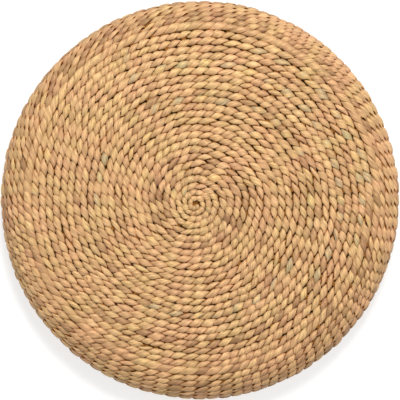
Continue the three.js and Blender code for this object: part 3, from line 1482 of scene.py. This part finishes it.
@dataclass
class Filling:
    """The foam disc and the cotton lining sewn round it from two panels.

    Attributes:
        meridian: The line of the pad's outside.
        cover: The thickness of the cover over the lining.
        cloth: The lining's thickness.
        room: The slack between the lining and the foam before it is filled.
        edge_room: How much further in the foam's edge lies, where the lining is drawn tight round it.
        sides: How many flats the foam and the unsewn lining have round them.
        flat_rows: How many rows of points its top and its base have.
        rim_rows: The same for its edge.
        merge: The distance within which points are one.
        slack: How much smaller than its place the lining is sewn.
        voxel: The size of the lining's faces before it is pressed out.
        pressure: How hard the filling presses.
        steps: How many steps it presses for.
        give: How far the cloth gives at most.
        seam: Half the gap between the two panels at the seam.
    """

    meridian: Meridian
    cover: float = 7.2 * MM
    cloth: float = 0.7 * MM
    room: float = 0.9 * MM
    edge_room: float = 2.6 * MM
    sides: int = 96
    flat_rows: int = 12
    rim_rows: int = 17
    merge: float = 0.01 * MM
    slack: float = 1.2 * MM
    voxel: float = 5 * MM
    pressure: float = 4.0
    steps: int = 20
    give: float = 0.8 * MM
    seam: float = 0.3 * MM

    def _turned(self, depth: float, edge_depth: float = 0.0) -> bmesh.types.BMesh:
        """Spin the pad's meridian, at a depth below the outside, into a closed solid.

        Args:
            depth: How far below the outside.
            edge_depth: How much further below it at the waist, fading out at the shoulder and the foot.

        Returns:
            The solid.
        """
        m = self.meridian
        top = np.linspace(0.0, m.shoulder, self.flat_rows)
        rim = m.shoulder + m.rim_length * np.linspace(0.0, 1.0, self.rim_rows)[1:-1]
        stations = np.concatenate([top, rim, (m.length - top)[::-1]])
        point, normal, _ = m.at(stations)
        share = np.clip((stations - m.shoulder) / m.rim_length, 0.0, 1.0)
        edge = np.sqrt(np.sin(math.pi * share).clip(0.0))
        point = point - normal * (depth + edge_depth * edge)[:, None]
        work = bmesh.new()
        chain = [work.verts.new((max(float(r), 0.0), 0.0, float(z))) for r, z in point]
        chain[0].co.x = chain[-1].co.x = 0.0
        edges = [work.edges.new(pair) for pair in zip(chain[:-1], chain[1:])]
        bmesh.ops.spin(work, geom=chain + edges, axis=(0.0, 0.0, 1.0), cent=(0.0, 0.0, 0.0), angle=TURN,
                       steps=self.sides, use_merge=True)
        bmesh.ops.remove_doubles(work, verts=work.verts, dist=self.merge)
        bmesh.ops.recalc_face_normals(work, faces=work.faces)
        return work

    def build_foam(self, finish: bpy.types.Material) -> None:
        """Cut the foam disc, its edge rounded to fill the rim.

        Args:
            finish: The foam's material.
        """
        mesh = mesh_from("foam_disc", self._turned(self.cover + self.cloth + self.room, self.edge_room))
        add_piece(mesh, finish, "foam_core")

    def _press_out(self, bag: bpy.types.Object) -> bpy.types.Mesh:
        """Let the filling press the cloth of a bag out, no further than it gives.

        Args:
            bag: The sewn bag.

        Returns:
            The bag's skin after the cloth has settled.
        """
        before = np.empty(3 * len(bag.data.vertices))
        bag.data.vertices.foreach_get("co", before)
        cloth = bag.modifiers.new("cloth", "CLOTH")
        cloth.settings.use_pressure = True
        cloth.settings.uniform_pressure_force = self.pressure
        cloth.settings.effector_weights.gravity = 0.0
        scene = bpy.context.scene
        scene.frame_start, scene.frame_end = 1, self.steps
        for number in range(1, self.steps + 1):
            scene.frame_set(number)
        settled = evaluated_mesh(bag)
        after = np.empty_like(before)
        settled.vertices.foreach_get("co", after)
        move = (after - before).reshape(-1, 3)
        reach = np.linalg.norm(move, axis=1, keepdims=True)
        move *= np.minimum(1.0, self.give / np.maximum(reach, 1e-9))
        settled.vertices.foreach_set("co", (before.reshape(-1, 3) + move).ravel())
        scene.frame_set(1)
        return settled

    def _stuffed_bag(self) -> bpy.types.Mesh:
        """Sew the lining as one closed bag and fill it.

        Returns:
            The bag's skin after the filling has pressed it out.
        """
        bag = link_object("lining_bag", mesh_from("lining_bag", self._turned(self.cover + self.slack)))
        remesh = bag.modifiers.new("remesh", "REMESH")
        remesh.mode = "VOXEL"
        remesh.voxel_size = self.voxel
        skin = evaluated_mesh(bag)
        bag.modifiers.clear()
        bag.data = skin
        stuffed = self._press_out(bag)
        bpy.data.objects.remove(bag)
        return stuffed

    def build_lining(self, finish: bpy.types.Material) -> None:
        """Cut the stuffed bag at the seam into its two panels and give the cloth its thickness.

        Args:
            finish: The cotton's material.
        """
        bag = self._stuffed_bag()
        waist = self.meridian.edge_height / 2.0
        for node, is_top in (("lining_top", True), ("lining_base", False)):
            work = bmesh.new()
            work.from_mesh(bag)
            cut = waist + (self.seam if is_top else -self.seam)
            bmesh.ops.bisect_plane(work, geom=work.verts[:] + work.edges[:] + work.faces[:],
                                   plane_co=(0, 0, cut), plane_no=(0, 0, 1), clear_inner=is_top,
                                   clear_outer=not is_top)
            bmesh.ops.recalc_face_normals(work, faces=work.faces)
            bmesh.ops.solidify(work, geom=work.faces[:], thickness=self.cloth)
            panel = mesh_from(node + "_panel", work)
            shade_smooth(panel)
            add_piece(panel, finish, node)


# ---- Studio ----


@dataclass(frozen=True)
class Softbox:
    """A square soft light that looks at the pad.

    Attributes:
        name: The light's name.
        place: Where it hangs.
        size: The length of its side.
        power: Its power in watts.
    """

    name: str
    place: tuple[float, float, float]
    size: float
    power: float

    def hang(self, colour: tuple[float, float, float]) -> None:
        """Hang the light.

        Args:
            colour: The light's colour.
        """
        lamp = bpy.data.lights.new(self.name, "AREA")
        lamp.shape = "SQUARE"
        lamp.size = self.size
        lamp.energy = self.power
        lamp.color = colour
        obj = link_object(self.name, lamp)
        obj.location = self.place
        obj.rotation_euler = Vector(self.place).to_track_quat("Z", "Y").to_euler()


@dataclass
class Studio:
    """A white paper floor that is lit from below too, soft light from above and a camera over the pad.

    Attributes:
        height: How far the camera is above the pad's waist.
        margin: How much more than the pad the picture takes in.
        sensor: The width of the camera's sensor, in millimetres.
        reach: How far the camera sees.
        floor_size: Half the length of the floor's side.
        floor_colour: The paper's colour.
        floor_glow: How strongly it is lit from below, which keeps the pad's shadow on it faint.
        floor_roughness: Its roughness.
        light_colour: The colour of all the light.
        fill: The strength of the light from all round.
        lamps: The soft lights: one over the far side and a weak one to the right.
    """

    height: float = 2.4
    margin: float = 1.0025
    sensor: float = 36.0
    reach: float = 20.0
    floor_size: float = 8.0
    floor_colour: str = "#a4a4a4"
    floor_glow: float = 0.66
    floor_roughness: float = 0.9
    light_colour: tuple[float, float, float] = (1.0, 0.99, 0.98)
    fill: float = 0.55
    lamps: tuple[Softbox, ...] = (
        Softbox("softbox_over", (0.16, 1.0, 1.7), 0.6, 37.5),
        Softbox("softbox_right", (0.9, -0.1, 1.7), 0.9, 3.0),
    )

    def build(self) -> None:
        """Set up the floor, the light and the camera."""
        self._floor()
        self._light()
        self._camera()

    def _floor(self) -> None:
        """Lay the floor."""
        work = bmesh.new()
        bmesh.ops.create_grid(work, x_segments=1, y_segments=1, size=self.floor_size)
        floor = link_object("studio_floor", mesh_from("studio_floor", work))
        paper = bpy.data.materials.new("white paper, matt")
        paper.use_nodes = True
        shader = paper.node_tree.nodes["Principled BSDF"]
        shader.inputs["Base Color"].default_value = linear(self.floor_colour)
        shader.inputs["Emission Color"].default_value = linear("#ffffff")
        shader.inputs["Emission Strength"].default_value = self.floor_glow
        shader.inputs["Roughness"].default_value = self.floor_roughness
        floor.data.materials.append(paper)

    def _light(self) -> None:
        """Light the pad from all round, and hang the soft lights."""
        world = bpy.data.worlds.new("studio")
        world.use_nodes = True
        background = world.node_tree.nodes["Background"]
        background.inputs["Color"].default_value = (*self.light_colour, 1.0)
        background.inputs["Strength"].default_value = self.fill
        bpy.context.scene.world = world
        for lamp in self.lamps:
            lamp.hang(self.light_colour)

    def _camera(self) -> None:
        """Put the camera straight over the middle of the pad."""
        lens = bpy.data.cameras.new("camera")
        wide = (CAD_BOX[1][0] - CAD_BOX[0][0]) * self.margin
        lens.sensor_width = self.sensor
        lens.lens = lens.sensor_width * self.height / wide
        lens.clip_end = self.reach
        camera = link_object("camera", lens)
        camera.location = (0.0, 0.0, self.height + (CAD_BOX[0][2] + CAD_BOX[1][2]) / 2.0)
        bpy.context.scene.camera = camera
        bpy.context.scene.view_settings.view_transform = "Standard"


def main() -> None:
    """Build the pad, sub-assembly by sub-assembly, and the studio round it."""
    meridian = Meridian.of_frame()
    spiral = Spiral(meridian, Lay())
    log.info("%d turns, %d crossings", len(spiral.zones), len(spiral.crossing_angle))
    Studio().build()
    Cover(spiral).build(TwistedLeaf().make())
    bundles = sum(1 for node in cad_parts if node.startswith("stake_bundle_"))
    Stakes(spiral, bundles).build(FlatLeaf().make())
    filling = Filling(meridian)
    filling.build_foam(OpenCellFoam().make())
    filling.build_lining(PlainCotton().make())


if __name__ == "__main__":
    main()
